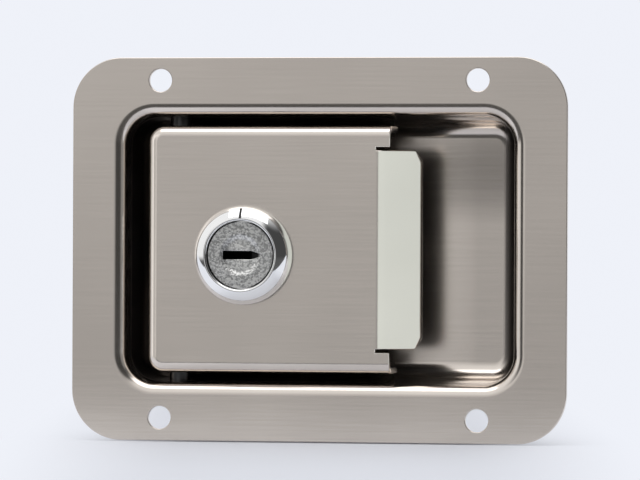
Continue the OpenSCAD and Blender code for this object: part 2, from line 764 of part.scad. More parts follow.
module lock_plug() {
    dish_r = dish_d / 2;
    color("gray") difference() {
        translate([lock_x, lock_y, 0]) {
            translate([0, 0, shoulder_z]) cylinder(d = plug_face_d, h = plug_face_t);
            translate([0, 0, plug_end_z]) cylinder(d = plug_d, h = shoulder_z - plug_end_z);
            translate([-tail_sq / 2, -tail_sq / 2, tail_z]) cube([tail_sq, tail_sq, plug_end_z - tail_z]);
        }
        translate([lock_x, lock_y, plug_face_z - dish_h])
            cylinder(r1 = dish_r - dish_h, r2 = dish_r, h = dish_h);
        translate([keyway_x, lock_y - keyway_t / 2, keyway_z])
            cube([keyway_w, keyway_t, plug_face_z + dish_h - keyway_z]);
        translate([keyway_x + keyway_w, lock_y, plug_face_z - dish_h]) intersection() {
            across(keyway_t) polygon([[0, -ramp_h], [ramp_len, 0], [ramp_len, dish_h], [0, dish_h]]);
            linear_extrude(4 * ramp_h, center = true) polygon([
                [0, -keyway_t / 2],
                [ramp_len, -keyway_t / 8],
                [ramp_len, keyway_t / 8],
                [0, keyway_t / 2]
            ]);
        }
        for (number = [1:wafer_count])
            at_wafer(number) translate([0, 0, -turn_gap]) linear_extrude(wafer_t + 2 * turn_gap)
                square([wafer_w + 2 * turn_gap, wafer_h + 2 * turn_gap], center = true);
        translate([lock_x, lock_y, tail_z - cam_t])
            cylinder(d = cam_screw_d + 2 * fit_gap, h = screw_top_z + turn_gap - tail_z + cam_t);
    }
}

// A wafer: a thin sprung plate with a window for the key
module wafer(number) {
    color("goldenrod") at_wafer(number) linear_extrude(wafer_t) difference() {
        square([wafer_w, wafer_h], center = true);
        translate([-keyway_shift, 0])
            square([keyway_w + 2 * turn_gap, keyway_t + 2 * turn_gap], center = true);
    }
}

// The lock nut: a thin hexagon nut that clamps the lock body to the paddle
module lock_nut() {
    corner_r = nut_af / 2 / cos(30);
    bevel = corner_r - nut_af / 2;
    color("gainsboro") translate([lock_x, lock_y, under_z - nut_t]) difference() {
        intersection() {
            rotate([0, 0, 30]) cylinder(r = corner_r, h = nut_t, $fn = 6);
            rotate_extrude() polygon([
                [0, 0],
                [corner_r - bevel, 0],
                [corner_r, bevel / 2],
                [corner_r, nut_t],
                [0, nut_t]
            ]);
        }
        cylinder(d = barrel_d + 2 * fit_gap, h = through, center = true);
    }
}

// A square hole for the plug's tail
module tail_hole() {
    square(tail_sq + 2 * fit_gap, center = true);
}

// The stop washer: a disc on the plug's tail, cut away so that the lug limits the turn of the key
module stop_washer() {
    from = 180 - lug_half_turn - lug_room - key_turn;
    to = 180 + lug_half_turn + lug_room;
    color("gainsboro") translate([lock_x, lock_y, stop_z]) linear_extrude(stop_t) difference() {
        circle(stop_d / 2);
        ring_sector(lug_in, stop_d, from, to);
        tail_hole();
    }
}

// The lock cam: a flat arm on the plug's tail
module lock_cam() {
    color("darkgray") translate([lock_x, lock_y, cam_z]) linear_extrude(cam_t) difference() {
        union() {
            circle(cam_root_d / 2);
            translate([cam_len / 2, 0]) rounded_rect(cam_len, cam_w, cam_end_r);
        }
        tail_hole();
    }
}

// The toothed washer under the cam screw
module cam_washer() {
    teeth = 10;
    notch = 0.9;
    color("dimgray") translate([lock_x, lock_y, cam_washer_z]) linear_extrude(cam_washer_t) difference() {
        circle(cam_washer_d / 2);
        circle(cam_screw_d / 2 + fit_gap);
        for (tooth = [1:teeth])
            rotate(360 * tooth / teeth) translate([cam_washer_d / 2, 0]) square(notch, center = true);
    }
}

// The cam screw: a cross-slotted screw into the plug's tail
module cam_screw() {
    slot_w = 1;
    slot_len = cam_screw_head_d - 3;
    slot_h = cam_screw_head_t / 2;
    color("gainsboro") translate([lock_x, lock_y, 0]) {
        translate([0, 0, cam_washer_z]) cylinder(d = cam_screw_d, h = cam_screw_len);
        difference() {
            translate([0, 0, cam_head_z]) cylinder(d = cam_screw_head_d, h = cam_screw_head_t);
            translate([0, 0, cam_head_z]) for (turn = [0, 90])
                rotate(turn) cube([slot_len, slot_w, 2 * slot_h], center = true);
        }
    }
}

// The cam keeper: a folded strip riveted to the pan's floor, that the locked cam turns under
module cam_keeper() {
    r = keeper_bend_r;
    color("silver") difference() {
        translate([lock_x - keeper_w / 2, 0, 0]) lengthwise(keeper_w) {
            translate([keeper_y + keeper_t + r, floor_z]) square([keeper_foot - keeper_t - r, keeper_t]);
            translate([keeper_y + keeper_t + r, floor_z + keeper_t + r])
                ring_sector(r, r + keeper_t, 180, 270);
            translate([keeper_y, floor_z + keeper_t + r])
                square([keeper_t, keeper_z - floor_z - keeper_t - 2 * r]);
            translate([keeper_y - r, keeper_z - r]) ring_sector(r, r + keeper_t, 0, 90);
            translate([keeper_y - keeper_reach, keeper_z]) square([keeper_reach - r, keeper_t]);
        }
        at_keeper_rivets() translate([0, 0, floor_z - keeper_t])
            cylinder(d = rivet_d + 2 * fit_gap, h = 3 * keeper_t);
    }
}

module keeper_rivets() {
    color("gainsboro") at_keeper_rivets() rivet(floor_z + keeper_t, floor_back_z);
}

// Stands a piece up: the panel upright, its face toward -Y and its top toward +Z
module upright() {
    rotate([90, 0, 0]) children();
}

upright() pan();
upright() paddle();
upright() drive_bracket();
upright() hinge_pin();
upright() pin_clip();
upright() paddle_spring_upper();
upright() paddle_spring_lower();
upright() bolt_housing();
upright() latch_bolt();
upright() bolt_spring();
upright() spring_guide();
upright() housing_rivets();
upright() lock_body();
upright() lock_plug();
upright() wafer(1);  // wafer_1
upright() wafer(2);  // wafer_2
upright() wafer(3);  // wafer_3
upright() wafer(4);  // wafer_4
upright() wafer(5);  // wafer_5
upright() lock_nut();
upright() stop_washer();
upright() lock_cam();
upright() cam_washer();
upright() cam_screw();
upright() cam_keeper();
upright() keeper_rivets();
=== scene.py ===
import bpy
import numpy as np
from mathutils import Matrix, Vector
from mathutils.geometry import delaunay_2d_cdt


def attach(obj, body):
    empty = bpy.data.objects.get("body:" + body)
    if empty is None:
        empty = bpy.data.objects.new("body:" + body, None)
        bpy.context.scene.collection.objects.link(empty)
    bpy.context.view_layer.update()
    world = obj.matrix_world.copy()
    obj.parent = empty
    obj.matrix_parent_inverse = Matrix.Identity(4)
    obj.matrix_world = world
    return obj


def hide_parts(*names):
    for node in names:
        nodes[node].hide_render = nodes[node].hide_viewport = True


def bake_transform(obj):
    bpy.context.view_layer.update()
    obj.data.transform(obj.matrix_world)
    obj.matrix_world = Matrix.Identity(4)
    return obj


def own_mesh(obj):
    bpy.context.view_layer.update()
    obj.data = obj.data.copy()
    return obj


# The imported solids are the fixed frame, and their box is the size that every piece below keeps to.
# Pieces that are right as they are keep their solid, and the others are made anew in its place.
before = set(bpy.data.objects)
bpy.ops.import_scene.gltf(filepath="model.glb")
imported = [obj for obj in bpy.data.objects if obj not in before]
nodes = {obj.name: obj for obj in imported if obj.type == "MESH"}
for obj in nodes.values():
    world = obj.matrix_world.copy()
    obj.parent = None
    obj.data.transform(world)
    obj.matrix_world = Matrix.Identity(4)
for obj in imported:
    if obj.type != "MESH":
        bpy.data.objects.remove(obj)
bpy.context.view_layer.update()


# The pan is one blank of stainless sheet, pressed into a tray with drafted walls inside a flat flange.
# Its flats keep the mill's brushing, its drawn bends are bright, and four screws hold it to the panel.
SHEET = 1.5
FACE = 1.5
FLANGE_W, FLANGE_H, FLANGE_R = 120, 92, 12
MOUTH_W, MOUTH_H, MOUTH_R = 100, 70, 10
LIP_R, HEEL_R, WALL_DRAFT, FLOOR = 3, 4.2, np.radians(4), -17.5
SCREW_X, SCREW_Y, SCREW_R = 38.5, 40.5, 2.75
ARM_SLOT = (-38.2, -21.0, 5.6)
CUT_EDGE, BEND_STEPS, BEND_GAIN = 0.22, 20, 400
STAINLESS = (0.72, 0.66, 0.605)
# The colour of the painted shade deep on the pan's walls beside the paddle and at its right end.
GAP_PAINTED_SHADE = (0.10, 0.088, 0.08)
# Where the painted shade on the walls and the floor's bow begin and where they are full, in metres.
GAP_SHADE_LEFT, GAP_SHADE_RIGHT, GAP_SHADE_DEEP = (0.021, 0.010), (0.0415, 0.0440), (0.0025, 0.006)
BOW_UP, BOW_ACROSS, BOW_DEEP = (0.006, 0.034), (0.022, 0.036), (0.004, 0.0165)


class Shade:
    """A socket of a node tree, which Python's operators join by Math nodes."""

    def __init__(self, tree, socket=None):
        self.tree, self.socket = tree, socket

    def node(self, kind, settings=None, sockets=None, out=0):
        """Adds a node, gives it its settings and then its sockets' values or links, and returns one output."""
        new = self.tree.nodes.new(kind)
        for key, value in (settings or {}).items():
            if key == "stops":
                for stop in list(new.color_ramp.elements)[1:]:
                    new.color_ramp.elements.remove(stop)
                new.color_ramp.elements[0].position = value[0][0]
                for place, _ in value[1:]:
                    new.color_ramp.elements.new(place)
                for stop, (_, colour) in zip(new.color_ramp.elements, value):
                    stop.color = colour
            else:
                setattr(new, key, value)
        for key, value in (sockets or {}).items():
            if isinstance(value, Shade):
                self.tree.links.new(value.socket, new.inputs[key])
            else:
                new.inputs[key].default_value = value
        return Shade(self.tree, new.outputs[out])

    def maths(self, operation, first, second=0.0):
        return self.node("ShaderNodeMath", {"operation": operation}, {0: first, 1: second})

    def __add__(self, other):
        return self.maths("ADD", self, other)

    def __sub__(self, other):
        return self.maths("SUBTRACT", self, other)

    def __rsub__(self, other):
        return self.maths("SUBTRACT", other, self)

    def __mul__(self, other):
        return self.maths("MULTIPLY", self, other)

    __radd__, __rmul__ = __add__, __mul__

    def mix(self, low, high):
        """Goes from one colour to another as this value goes from 0 to 1."""
        return self.node("ShaderNodeMix", {"data_type": "RGBA"}, {"Factor": self, "A": low, "B": high}, 2)


def finish(name, look):
    """A metal's material: look takes the tree and gives colour, roughness and normal for the metal's surface."""
    material = bpy.data.materials.new(name)
    material.use_nodes = True
    tree = material.node_tree
    surface = tree.nodes["Principled BSDF"]
    surface.inputs["Metallic"].default_value = 1.0
    for socket, value in look(Shade(tree)).items():
        if isinstance(value, Shade):
            tree.links.new(value.socket, surface.inputs[socket])
        else:
            surface.inputs[socket].default_value = value
    return material


def tint(colour, share=1.0):
    """A colour with its alpha, made lighter or darker by a share."""
    return (*(min(part * share, 1.0) for part in colour), 1.0)


def grey(level):
    """A grey with its alpha."""
    return (level, level, level, 1.0)


def axes(tree, source="Object"):
    """The piece's own coordinates in metres, or a direction's parts: right, back and up."""
    place = tree.node("ShaderNodeTexCoord", out=source)
    parts = tree.node("ShaderNodeSeparateXYZ", None, {0: place}).socket.node
    return [Shade(tree.tree, part) for part in parts.outputs]


def marked(tree, word):
    """A share from 0 to 1 that made has set at each point of the mesh."""
    return tree.node("ShaderNodeAttribute", {"attribute_name": word}, out=2)


def grained(tree, stretch, detail=3.0):
    """Noise on the piece's own coordinates, stretched apart by a share for each axis."""
    place = tree.node("ShaderNodeTexCoord", out="Object")
    place = tree.node("ShaderNodeMapping", None, {"Vector": place, "Scale": stretch})
    return tree.node("ShaderNodeTexNoise", None, {"Vector": place, "Scale": 1.0, "Detail": detail})


def bumped(tree, height, strength, depth):
    """A normal that follows a height: the bump's strength and its depth in metres are the same all over."""
    return tree.node("ShaderNodeBump", None, {"Height": height, "Strength": strength, "Distance": depth})


def stepped(tree, value, low, high):
    """A value that goes smoothly from 0 at one end of a range to 1 at the other."""
    return tree.node("ShaderNodeMapRange", {"interpolation_type": "SMOOTHSTEP"},
                     {"Value": value, "From Min": low, "From Max": high, "To Min": 0.0, "To Max": 1.0})


def brushed_stainless(tree):
    """Fine lines along the panel on the flats, faint smudges, and bends that the press has burnished. Deep down, the
    walls beside the paddle and at the pan's right end are painted dark as shade, and the pan's floor is a little
    bowed."""
    lines = grained(tree, (45, 2600, 2600))
    smudge = grained(tree, (28, 28, 28), 2.0)
    across, deep, up = axes(tree)
    # Painted shade: the walls deep in the pan, beside the paddle and at its right end, are made dark.
    beside = stepped(tree, across, *GAP_SHADE_LEFT) + stepped(tree, across, *GAP_SHADE_RIGHT)
    gap_shade = marked(tree, "inner") * stepped(tree, deep, *GAP_SHADE_DEEP) * beside
    bow = stepped(tree, up, *BOW_UP) * 1.1 + stepped(tree, across, *BOW_ACROSS) * 0.8
    bow = bow * stepped(tree, deep, *BOW_DEEP) * marked(tree, "front")
    flat = 1 - marked(tree, "bend")
    tone = (lines - 0.5) * flat * 0.7 + smudge
    steel = tone.mix(tint(STAINLESS, 0.89), tint(STAINLESS, 1.11))
    return {
        "Base Color": gap_shade.mix(steel, tint(GAP_PAINTED_SHADE)),
        "Roughness": 0.18 + flat * (lines * 0.05 + smudge * 0.03) + gap_shade * 0.2,
        "Normal": bumped(tree, lines * flat * 0.002 + bow, 1.0, 0.001),
    }


stainless = finish("brushed_stainless", brushed_stainless)


def upright(points):
    """The drawing, face up in mm, as the frame in metres: x stays, y goes up, and z comes out toward -Y."""
    x, y, z = np.moveaxis(np.asarray(points, float), -1, 0)
    return np.stack([x, -z, y], -1) / 1000


def unit(vectors):
    """Vectors at length 1, and those without length as they are."""
    length = np.linalg.norm(vectors, axis=-1, keepdims=True)
    return vectors / np.where(length > 0, length, 1)


def grid(points, normals):
    """A patch over a grid of points, with four-sided faces between neighbours."""
    rows, columns = points.shape[:2]
    place = np.arange(rows * columns).reshape(rows, columns)
    faces = np.stack([place[:-1, :-1], place[1:, :-1], place[1:, 1:], place[:-1, 1:]], -1)
    return points.reshape(-1, 3), normals.reshape(-1, 3), faces.reshape(-1, 4)


def corner_path(half_x, half_y, steps=24):
    """A rectangle's four corners, each kept while a direction turns a quarter about it, closed at the end."""
    turn = np.radians(90 * np.arange(4)[:, None] + np.linspace(0, 90, steps + 1)).ravel()
    out = np.stack([np.cos(turn), np.sin(turn)], -1)
    sides = np.repeat([(1, 1), (-1, 1), (-1, -1), (1, -1)], steps + 1, axis=0)
    corner = sides * (half_x, half_y)
    return np.append(corner, corner[:1], 0), np.append(out, out[:1], 0)


def carried(path, section):
    """A section carried along a path: the path's corner plus the section's reach times the path's direction,
    at the section's height. A section is its reach, its height and its normal's parts out and up."""
    corner, out = path
    reach, height, n_out, n_up = (np.asarray(part, float)[:, None, None] for part in section)
    points = corner + reach * out
    points = np.concatenate([points, np.broadcast_to(height, (*points.shape[:2], 1))], -1)
    normals = n_out * out
    normals = np.concatenate([normals, np.broadcast_to(n_up, (*normals.shape[:2], 1))], -1)
    return grid(points, normals)


def plate(loops, height, loose=None):
    """A flat patch at one height, inside the first closed loop and outside the others: all are filled with
    triangles, and those that only the first loop holds are kept."""
    firsts = np.cumsum([0, *(len(loop) for loop in loops)])
    rounds = [list(range(first, last)) for first, last in zip(firsts[:-1], firsts[1:])]
    flat = np.concatenate([*loops, *([] if loose is None else [loose])])
    _, _, triangles, _, _, held = delaunay_2d_cdt([Vector(p) for p in flat], [], rounds, 1, 1e-7)
    faces = np.array([triangle for triangle, by in zip(triangles, held) if by == [0]])
    points = np.column_stack([flat, np.full(len(flat), height)])
    return points, np.tile((0.0, 0.0, 1.0), (len(flat), 1)), faces[:, [0, 1, 2, 2]]


def circle(x, y, r, steps=48):
    """Points round a circle: its middle plus its radius times a turning direction."""
    turn = 2 * np.pi * np.arange(steps) / steps
    return np.stack([x + r * np.cos(turn), y + r * np.sin(turn)], -1)


def welded(*patches):
    """Patches as one: points on one another become one point, and each face turns to its corners' normals."""
    firsts = np.cumsum([0, *(len(points) for points, _, _ in patches)])
    points = np.concatenate([patch[0] for patch in patches])
    normals = np.concatenate([patch[1] for patch in patches])
    faces = np.concatenate([patch[2] + first for patch, first in zip(patches, firsts)])
    _, kept, same = np.unique(np.round(points, 5), axis=0, return_index=True, return_inverse=True)
    points, normals, faces = points[kept], normals[kept], same.ravel()[faces]
    a, b, c, d = (points[faces[:, corner]] for corner in range(4))
    against = (np.cross(c - a, d - b) * normals[faces].sum(1)).sum(1) < 0
    return points, normals, np.where(against[:, None], faces[:, ::-1], faces)


def pressed(skin, thick, edge=CUT_EDGE, back_edge=CUT_EDGE, steps=4):
    """A sheet from its front skin. The back is the skin moved in by the thickness along its normals. At a cut edge
    the skins are drawn in by the edges' radii, and arcs join them: the edge's outward direction times the sine
    of an angle, plus the normal times its cosine."""
    points, normals, faces = welded(*skin)
    count = len(points)
    start, end = faces.ravel(), np.roll(faces, -1, 1).ravel()
    start, end = start[start != end], end[start != end]
    rim = ~np.isin(end * count + start, start * count + end)
    start, end = start[rim], end[rim]
    leaving, arriving = np.zeros_like(points), np.zeros_like(points)
    leaving[start] = unit(np.cross(points[end] - points[start], normals[start]))
    arriving[end] = unit(np.cross(points[end] - points[start], normals[end]))
    out = (leaving + arriving) / (1 + (leaving * arriving).sum(1, keepdims=True))
    edge = np.broadcast_to(edge, count)[:, None]
    cut = np.unique(start)
    place = np.zeros(count, int)
    place[cut] = np.arange(len(cut))
    angles = np.radians(np.linspace(0, 90, steps + 1))
    arcs = [(angle, edge, edge) for angle in angles[1:]]
    arcs += [(angle + np.pi / 2, back_edge, thick - back_edge) for angle in angles[:-1]]
    rings = [points - r * out - depth * normals + r * (np.sin(a) * out + np.cos(a) * normals) for a, r, depth in arcs]
    tilts = [np.sin(a) * unit(out) + np.cos(a) * normals for a, _, _ in arcs]
    rows = [np.arange(count), *(2 * count + i * len(cut) + place for i in range(len(arcs))), count + np.arange(count)]
    strips = [np.stack([near[end], near[start], far[start], far[end]], 1) for near, far in zip(rows[:-1], rows[1:])]
    return (
        np.concatenate([points - edge * out, points - thick * normals - back_edge * out, *(r[cut] for r in rings)]),
        np.concatenate([normals, -normals, *(tilt[cut] for tilt in tilts)]),
        np.concatenate([faces, faces[:, ::-1] + count, *strips]),
    )


def made(name, body, surface, *patches):
    """A piece of the object from its patches: its mesh lies in place, and it rides on a body, if one is named. A face
    with a doubled corner is turned until that comes last and is a triangle. Each point is marked with the share of
    a bend in it, whether that bend faces inward, and whether it looks to the front."""
    points, normals, faces = welded(*patches)
    for turn in range(4):
        turned_faces = np.roll(faces, turn, 1)
        faces = np.where((turned_faces[:, 2] == turned_faces[:, 3])[:, None], turned_faces, faces)
    faces = faces[(faces[:, 0] != faces[:, 1]) & (faces[:, 1] != faces[:, 2]) & (faces[:, 0] != faces[:, 2])]
    three = faces[:, 2] == faces[:, 3]
    mesh = bpy.data.meshes.new(name)
    mesh.from_pydata(upright(points).tolist(), [], faces[~three].tolist() + faces[three][:, :3].tolist())
    mesh.shade_smooth()
    mesh.normals_split_custom_set_from_vertices((upright(unit(normals)) * 1000).tolist())
    bend = np.clip((1 - np.abs(normals).max(1)) * BEND_GAIN, 0, 1)
    inner = bend * ((normals * points)[:, :2].sum(1) < 0)
    front = normals[:, 2] > 0
    for word, share in (("bend", bend), ("inner", inner), ("front", front)):
        mesh.attributes.new(word, "FLOAT", "POINT").data.foreach_set("value", share.astype(np.float32))
    mesh.materials.append(surface)
    piece = bpy.data.objects.new(name, mesh)
    bpy.context.scene.collection.objects.link(piece)
    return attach(piece, body) if body else piece


lip_turn = np.linspace(np.pi / 2, np.pi - WALL_DRAFT, BEND_STEPS)
heel_turn = np.linspace(-WALL_DRAFT, -np.pi / 2, BEND_STEPS)
lip_end = MOUTH_R - LIP_R * np.cos(WALL_DRAFT)
lip_end_z = FACE - LIP_R + LIP_R * np.sin(WALL_DRAFT)
wall_run = (lip_end_z + HEEL_R * np.sin(WALL_DRAFT) - FLOOR - HEEL_R) / np.cos(WALL_DRAFT)
heel_mid = lip_end - wall_run * np.sin(WALL_DRAFT) - HEEL_R * np.cos(WALL_DRAFT)
pan_section = np.concatenate([
    [MOUTH_R + LIP_R * np.cos(lip_turn), FACE - LIP_R + LIP_R * np.sin(lip_turn), np.cos(lip_turn), np.sin(lip_turn)],
    [heel_mid + HEEL_R * np.cos(heel_turn), FLOOR + HEEL_R + HEEL_R * np.sin(heel_turn),
     -np.cos(heel_turn), -np.sin(heel_turn)],
], 1)
mouth_corner, mouth_out = corner_path(MOUTH_W / 2 - MOUTH_R, MOUTH_H / 2 - MOUTH_R)
flange_corner, flange_out = corner_path(FLANGE_W / 2 - FLANGE_R, FLANGE_H / 2 - FLANGE_R)
slot_left, slot_right, slot_half = ARM_SLOT
flange_plate = plate([
    (flange_corner + FLANGE_R * flange_out)[:-1],
    (mouth_corner + MOUTH_R * mouth_out)[:-1],
    *(circle(sx * SCREW_X, sy * SCREW_Y, SCREW_R) for sx in (-1, 1) for sy in (-1, 1)),
], FACE)
floor_plate = plate([
    (mouth_corner + heel_mid * mouth_out)[:-1],
    np.array([(slot_left, -slot_half), (slot_right, -slot_half), (slot_right, slot_half), (slot_left, slot_half)]),
], FLOOR)
pan_skin = (flange_plate, carried((mouth_corner, mouth_out), pan_section), floor_plate)
pan = made("pan_pressing", "pan", stainless, pressed(pan_skin, SHEET))
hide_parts("pan")


# The hinge pin is a blackened headed pin through the pan's walls, and an open spring clip in its groove keeps it in.
# The CAD shapes are right as they are, and only their edges are eased.
def black_oxide(tree):
    """Blackened steel: nearly black, a little oily, with worn patches."""
    wear = grained(tree, (400, 400, 400), 3.0)
    return {
        "Base Color": wear.mix(grey(0.05), grey(0.11)),
        "Roughness": 0.28 + wear * 0.14,
        "Normal": bumped(tree, wear, 0.08, 0.00001),
    }


def polished_steel(tree):
    """Ground steel: faint rings of the grinding wheel in a bright surface."""
    lines = grained(tree, (900, 900, 900), 2.0)
    return {
        "Base Color": lines.mix((0.66, 0.66, 0.65, 1), (0.74, 0.74, 0.73, 1)),
        "Roughness": 0.16 + lines * 0.12,
        "Normal": bumped(tree, lines, 0.08, 0.00001),
    }


def drawn_wire(tree):
    """Drawn spring steel: a dark grey skin with fine scratches from the die."""
    lines = grained(tree, (1500, 1500, 1500), 3.0)
    return {
        "Base Color": lines.mix((0.30, 0.30, 0.31, 1), (0.50, 0.50, 0.51, 1)),
        "Roughness": 0.24 + lines * 0.16,
        "Normal": bumped(tree, lines, 0.10, 0.00001),
    }


def eased(name, surface, width=0.15):
    """A CAD node in its finish: its loose triangles are merged, and its edges are rounded by a small bevel."""
    node = nodes[name]
    node.data.materials.clear()
    node.data.materials.append(surface)
    weld = node.modifiers.new("Merged", "WELD")
    weld.merge_threshold = 1e-6
    bevel = node.modifiers.new("Eased edges", "BEVEL")
    bevel.width, bevel.segments = width / 1000, 2
    bevel.limit_method, bevel.angle_limit = "ANGLE", np.radians(35)
    node.modifiers.new("Even normals", "WEIGHTED_NORMAL")
    return node


bright_steel = finish("bright_steel", polished_steel)
spring_steel = finish("spring_steel", drawn_wire)
black_steel = finish("black_steel", black_oxide)
eased("hinge_pin", black_steel)
eased("pin_clip", black_steel, 0.08)


# Two torsion springs of drawn wire lie on the pin beside the bracket. One leg stands on the pan's floor and the
# other lifts the paddle's left end, so each coil winds up as the paddle opens.
PIVOT_X, PIVOT_Z = -35, -6.5
COIL_WIRE, COIL_R, COIL_PITCH, COIL_TURNS, COIL_LIFT = 0.55, 3.45, 1.25, 4, np.radians(60)
COIL_START, COIL_FOOT_Z, COIL_LEG, COIL_STEPS = 6.25, -16.85, 5.72, 40


def wire(path, out, axis, r, sides=14):
    """A round wire: each ring is the path's point plus the radius times the cosine of an angle outward from the coil
    and its sine along the coil's axis. Flat ends close it."""
    turn = 2 * np.pi * np.arange(sides + 1) / sides
    normals = np.cos(turn)[None, :, None] * out[:, None] + np.sin(turn)[None, :, None] * np.asarray(axis, float)
    points = path[:, None] + r * normals
    caps = []
    for ring, ahead in ((points[0], path[0] - path[1]), (points[-1], path[-1] - path[-2])):
        cap = np.stack([ring, np.broadcast_to(ring[:-1].mean(0), ring.shape)])
        caps.append(grid(cap, np.broadcast_to(unit(ahead), cap.shape)))
    return [grid(points, normals), *caps]


coil_angle = np.linspace(0, 2 * np.pi * COIL_TURNS + COIL_LIFT, COIL_STEPS * COIL_TURNS)
coil_out = np.stack([np.cos(coil_angle), 0 * coil_angle, np.sin(coil_angle)], -1)
coil_path = COIL_R * coil_out + np.stack(
    [0 * coil_angle + PIVOT_X, COIL_START + COIL_PITCH * coil_angle / (2 * np.pi), 0 * coil_angle + PIVOT_Z], -1)
foot_point = np.array([PIVOT_X + COIL_R, COIL_START, COIL_FOOT_Z])
leg_point = coil_path[-1] + COIL_LEG * np.array([-np.sin(COIL_LIFT), 0, np.cos(COIL_LIFT)])
coil_path = np.concatenate([[foot_point], coil_path, [leg_point]])
coil_out = np.concatenate([coil_out[:1], coil_out, coil_out[-1:]])
for side, word in ((1, "upper"), (-1, "lower")):
    coil = made(f"paddle_coil_{word}", None, spring_steel,
                *wire(coil_path * (1, side, 1), coil_out, (0, 1, 0), COIL_WIRE))
    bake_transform(coil)
    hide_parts(f"paddle_spring_{word}")


# The paddle is one pressing too: three edges turned down into a skirt, and at the free end a finger tab between
# two slits, bent down and dressed round at its lip. The pin carries it through the skirt.
PADDLE_X, PADDLE_LEN, PADDLE_H = -41.8, 59.2, 59.4
EDGE_R, CORNER_R, SKIRT = 2.6, 4, 11.5
TAB_W, TAB_LEN, TAB_FALL, TAB_BEND_R = 47.5, 10.5, np.radians(35), 3.8
TAB_CHAMFER, TAB_LIP, EAR, SLIT = 2.4, 1.25, 3.4, 0.8
TAB_ROWS, CORNER_STEPS = (2.5, 5.5), 17
LOCK_X, LOCK_Y, BARREL_R, BARREL_FLATS, FIT = -18, -1.4, 9.3, 8, 0.05
ear_x = PADDLE_X + PADDLE_LEN
bend_x = ear_x - EAR
corner_x, corner_y = PADDLE_X + CORNER_R, PADDLE_H / 2 - CORNER_R
slit_y = TAB_W / 2 + SLIT

edge_turn = np.linspace(0, np.pi / 2, 16)
paddle_section = np.concatenate([
    [CORNER_R - EDGE_R + EDGE_R * np.sin(edge_turn), FACE - EDGE_R + EDGE_R * np.cos(edge_turn),
     np.sin(edge_turn), np.cos(edge_turn)],
    [[CORNER_R], [FACE - SKIRT], [1], [0]],
], 1)
side_turn = np.radians(np.concatenate(
    [[90], np.linspace(90, 180, CORNER_STEPS), np.linspace(180, 270, CORNER_STEPS), [270]]))
side_out = np.stack([np.cos(side_turn), np.sin(side_turn)], -1)
side_corner = np.concatenate([
    [(ear_x, corner_y)],
    np.tile((corner_x, corner_y), (CORNER_STEPS, 1)),
    np.tile((corner_x, -corner_y), (CORNER_STEPS, 1)),
    [(ear_x, -corner_y)],
])
skirt = carried((side_corner, side_out), paddle_section)

tab_across = np.linspace(-1, 1, 13)
tab_turn = np.linspace(0, TAB_FALL, 12)
tab_run = np.array([*TAB_ROWS, TAB_LEN - TAB_CHAMFER, TAB_LEN])
tab_tilt = np.append(tab_turn, np.full(len(tab_run), TAB_FALL))
tab_far = np.append(0 * tab_turn, tab_run)
tab_x = bend_x + TAB_BEND_R * np.sin(tab_tilt) + tab_far * np.cos(tab_tilt)
tab_z = FACE - TAB_BEND_R * (1 - np.cos(tab_tilt)) - tab_far * np.sin(tab_tilt)
tab_half = TAB_W / 2 - np.clip(tab_far - TAB_LEN + TAB_CHAMFER, 0, None)
tab_points = np.stack(np.broadcast_arrays(tab_x[:, None], tab_half[:, None] * tab_across, tab_z[:, None]), -1)
tab_normals = np.stack(np.broadcast_arrays(np.sin(tab_tilt)[:, None], 0 * tab_across, np.cos(tab_tilt)[:, None]), -1)
tab = grid(tab_points, tab_normals)

lock_hole = circle(LOCK_X, LOCK_Y, BARREL_R + FIT)
lock_hole[:, 1] = np.clip(lock_hole[:, 1], LOCK_Y - BARREL_FLATS - FIT, LOCK_Y + BARREL_FLATS + FIT)
paddle_face = plate([
    np.concatenate([
        side_corner + (CORNER_R - EDGE_R) * side_out,
        [(ear_x, -slit_y), (bend_x, -slit_y)],
        np.column_stack([np.full(len(tab_across), bend_x), TAB_W / 2 * tab_across]),
        [(bend_x, slit_y), (ear_x, slit_y)],
    ]),
    lock_hole,
], FACE)
paddle_skin = welded(paddle_face, skirt, tab)
at_lip = np.isclose(paddle_skin[0][:, [0, 2]], (tab_x[-1], tab_z[-1]), atol=1e-4).all(1)
paddle = made("paddle_pressing", "paddle", stainless,
              pressed((paddle_skin,), SHEET, np.where(at_lip, TAB_LIP, CUT_EDGE), steps=6))
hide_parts("paddle")


# The drive bracket is a folded strap, zinc plated and spot welded under the paddle. Its two arms reach down through
# the slot in the pan's floor and draw the bolt.
def zinc_plate(tree):
    """Zinc plating: a bluish grey with a fine spangle and a few dull patches."""
    spangle = grained(tree, (700, 700, 700), 2.0)
    patches = grained(tree, (90, 90, 90), 3.0)
    return {
        "Base Color": patches.mix((0.55, 0.565, 0.58, 1), (0.65, 0.66, 0.665, 1)),
        "Roughness": 0.26 + patches * 0.14 + spangle * 0.06,
        "Normal": bumped(tree, spangle, 0.10, 0.00002),
    }


zinc = finish("zinc_plate", zinc_plate)
eased("drive_bracket", zinc)


# The bolt housing is a folded stainless channel, riveted behind the floor. The latch bolt slides in it, and a
# compression spring on a headed guide rod pushes the bolt out.
SPRING_WIRE, SPRING_R, SPRING_TURNS, SPRING_OPEN = 0.5, 3.3, 9, 2.943
SPRING_START, SPRING_AXIS_Z, SPRING_END, SPRING_KEEP = -15.2, -23.2, 8.2, 0.604
SPRING_STEPS, SPRING_GAP = 36, 0.1
eased("bolt_housing", stainless)
eased("housing_rivets", bright_steel)
eased("latch_bolt", zinc, 0.25)
eased("spring_guide", bright_steel)
spring_turn = np.linspace(0, SPRING_TURNS, SPRING_STEPS * SPRING_TURNS + 1)
closed_turn = 2 * SPRING_WIRE + SPRING_GAP
spring_x = SPRING_START + np.interp(
    spring_turn, [0, 1, SPRING_TURNS - 1, SPRING_TURNS],
    np.cumsum([0, closed_turn, SPRING_OPEN * (SPRING_TURNS - 2), closed_turn]))
spring_out = np.stack(
    [0 * spring_turn, np.cos(2 * np.pi * spring_turn), -np.sin(2 * np.pi * spring_turn)], -1)
